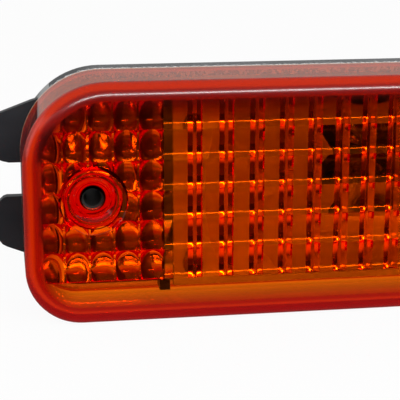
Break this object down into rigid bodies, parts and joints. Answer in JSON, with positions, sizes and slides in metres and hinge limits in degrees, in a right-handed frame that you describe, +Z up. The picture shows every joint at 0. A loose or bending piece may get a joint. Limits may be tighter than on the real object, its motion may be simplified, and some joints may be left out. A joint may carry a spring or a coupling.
{
  "type": "bumper lamp",
  "caption": "Amber bumper lamp: a moulded lens with rib and flute optics and a screw boss, on a black housing with edge tongues, reflector, bulb and twist-lock bulb holder.",
  "frame": {"origin": "on the axis of the fixing hole, at the rear face of its metal sleeve, where the lamp bears on its bracket", "axes": "+X along the lamp away from the screw end, +Y backward into the vehicle, +Z up; the lens faces -Y"},
  "size_m": [0.1994, 0.0872, 0.07],
  "materials": {
    "amber_lens": "clear moulded amber plastic, polished outside, with optics inside",
    "pale_sealant": "cured sealant bead, slightly uneven",
    "plated_steel": "bright zinc plate",
    "dulled_steel": "zinc plate gone dull",
    "black_plastic": "moulded black, fine spark texture outside, silver lacquer inside",
    "bright_reflector": "moulded plastic with a bright metal coating in front",
    "clear_glass": "clear blown glass",
    "wire_metal": "drawn wire",
    "cap_brass": "pressed brass, slightly dull",
    "black_insulator": "black glassy insulator",
    "soft_solder": "domed solder",
    "holder_plastic": "moulded dark grey, heat resistant",
    "black_rubber": "soft moulded rubber",
    "brown_board": "pressed insulating board",
    "terminal_brass": "stamped, tinned",
    "grey_foam": "open-cell foam"
  },
  "bodies": {
    "root": {"lens": "amber_lens", "lens_seal": "pale_sealant", "boss_seal": "pale_sealant", "screw_sleeve": "dulled_steel", "housing": "black_plastic", "reflector": "bright_reflector", "reflector_screws": "plated_steel", "bulb_glass": "clear_glass", "bulb_stem": "clear_glass", "lead_wires": "wire_metal", "filament": "wire_metal", "bulb_cap": "cap_brass", "bayonet_pins": "cap_brass", "cap_insulator": "black_insulator", "end_contact": "soft_solder", "holder_body": "holder_plastic", "holder_seal": "black_rubber", "holder_sleeve": "plated_steel", "contact_plunger": "brown_board", "plunger_spring": "wire_metal", "live_terminal": "terminal_brass", "earth_terminal": "terminal_brass", "vent_cap": "black_rubber", "vent_foam": "grey_foam"}
  },
  "joints": []
}
